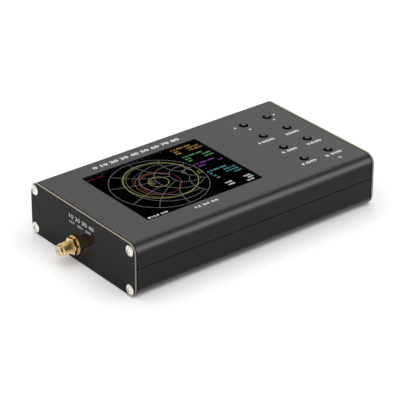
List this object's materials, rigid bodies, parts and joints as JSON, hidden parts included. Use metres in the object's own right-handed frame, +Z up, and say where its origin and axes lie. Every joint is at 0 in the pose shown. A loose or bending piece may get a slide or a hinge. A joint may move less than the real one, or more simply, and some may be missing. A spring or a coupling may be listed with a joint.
{
  "type": "antenna analyzer",
  "caption": "Handheld antenna analyzer: flat extruded metal case with a recessed display, round push buttons and a gold coaxial test port on its front end plate.",
  "frame": {"origin": "centre of the case's flat underside", "axes": "+X along the case from the test port to the USB end, +Y across it, +Z up through the display"},
  "size_m": [0.1621, 0.084, 0.0286],
  "materials": {
    "case_black_anodised": "bead-blasted, black anodised, satin",
    "laminate_black": "fibreglass laminate, glossy black mask, bare tan edge",
    "screw_steel": "nickel plated, slightly worn",
    "port_gold": "gold plated, turned",
    "port_insulator": "white fluoropolymer",
    "window_clear": "clear acrylic over a black display",
    "lcd_glass": "display glass, black when unlit",
    "gasket_foam": "closed-cell foam",
    "light_guide": "clear light guide",
    "backlight_white": "white moulding",
    "adhesive_tape": "double-sided tape",
    "flex_amber": "polyimide ribbon",
    "board_green": "fibreglass circuit board, green mask",
    "connector_cream": "moulded connector body",
    "connector_black": "moulded connector body",
    "switch_black": "moulded switch body",
    "button_black": "moulded stem, fine texture",
    "spring_steel": "stamped stainless steel",
    "tinned_metal": "tinned",
    "chip_black": "moulded epoxy package",
    "ferrite_dark": "ferrite",
    "ceramic_tan": "multilayer ceramic",
    "cell_foil": "laminated pouch foil",
    "lead_red": "silicone insulation",
    "lead_black": "silicone insulation",
    "lamp_clear": "clear lamp"
  },
  "bodies": {
    "case": {"battery_cell": "cell_foil", "battery_lead_black": "lead_black", "battery_lead_red": "lead_red", "battery_plug": "connector_cream", "battery_socket": "connector_cream", "battery_tape": "adhesive_tape", "board_capacitors": "ceramic_tan", "button_1_dome": "spring_steel", "button_2_dome": "spring_steel", "button_3_dome": "spring_steel", "button_4_dome": "spring_steel", "button_5_dome": "spring_steel", "button_6_dome": "spring_steel", "button_7_dome": "spring_steel", "button_8_dome": "spring_steel", "charge_lamps": "lamp_clear", "control_board": "board_green", "display_backlight_frame": "backlight_white", "display_connector": "connector_cream", "display_flex": "flex_amber", "display_gasket": "gasket_foam", "display_lcd_glass": "lcd_glass", "display_light_guide": "light_guide", "display_tape": "adhesive_tape", "display_window": "window_clear", "front_end_plate": "laminate_black", "front_plate_screws": "screw_steel", "lamp_holders": "connector_black", "link_header": "connector_black", "link_socket": "connector_black", "lower_shell": "case_black_anodised", "main_board": "board_green", "power_inductors": "ferrite_dark", "processor": "chip_black", "radio_chips": "chip_black", "radio_shield_fence": "tinned_metal", "radio_shield_lid": "tinned_metal", "rear_end_plate": "laminate_black", "rear_plate_screws": "screw_steel", "reference_oscillator": "tinned_metal", "switch_bases": "switch_black", "switch_covers": "spring_steel", "switch_terminals": "tinned_metal", "test_port_body": "port_gold", "test_port_contact": "port_gold", "test_port_insulator": "port_insulator", "test_port_nut": "port_gold", "test_port_washer": "port_gold", "upper_shell": "case_black_anodised", "usb_shell": "tinned_metal", "usb_tongue": "connector_black"},
    "button_1": {"button_1_stem": "button_black"},
    "button_2": {"button_2_stem": "button_black"},
    "button_3": {"button_3_stem": "button_black"},
    "button_4": {"button_4_stem": "button_black"},
    "button_5": {"button_5_stem": "button_black"},
    "button_6": {"button_6_stem": "button_black"},
    "button_7": {"button_7_stem": "button_black"},
    "button_8": {"button_8_stem": "button_black"}
  },
  "joints": [
    {"name": "button_1_press", "type": "slide", "parent": "case", "child": "button_1", "axis": [0, 0, -1], "range_m": [0, 0.00025], "stiffness_N_per_m": 6400, "deforming": ["button_1_dome"]},
    {"name": "button_2_press", "type": "slide", "parent": "case", "child": "button_2", "axis": [0, 0, -1], "range_m": [0, 0.00025], "stiffness_N_per_m": 6400, "deforming": ["button_2_dome"]},
    {"name": "button_3_press", "type": "slide", "parent": "case", "child": "button_3", "axis": [0, 0, -1], "range_m": [0, 0.00025], "stiffness_N_per_m": 6400, "deforming": ["button_3_dome"]},
    {"name": "button_4_press", "type": "slide", "parent": "case", "child": "button_4", "axis": [0, 0, -1], "range_m": [0, 0.00025], "stiffness_N_per_m": 6400, "deforming": ["button_4_dome"]},
    {"name": "button_5_press", "type": "slide", "parent": "case", "child": "button_5", "axis": [0, 0, -1], "range_m": [0, 0.00025], "stiffness_N_per_m": 6400, "deforming": ["button_5_dome"]},
    {"name": "button_6_press", "type": "slide", "parent": "case", "child": "button_6", "axis": [0, 0, -1], "range_m": [0, 0.00025], "stiffness_N_per_m": 6400, "deforming": ["button_6_dome"]},
    {"name": "button_7_press", "type": "slide", "parent": "case", "child": "button_7", "axis": [0, 0, -1], "range_m": [0, 0.00025], "stiffness_N_per_m": 6400, "deforming": ["button_7_dome"]},
    {"name": "button_8_press", "type": "slide", "parent": "case", "child": "button_8", "axis": [0, 0, -1], "range_m": [0, 0.00025], "stiffness_N_per_m": 6400, "deforming": ["button_8_dome"]}
  ]
}
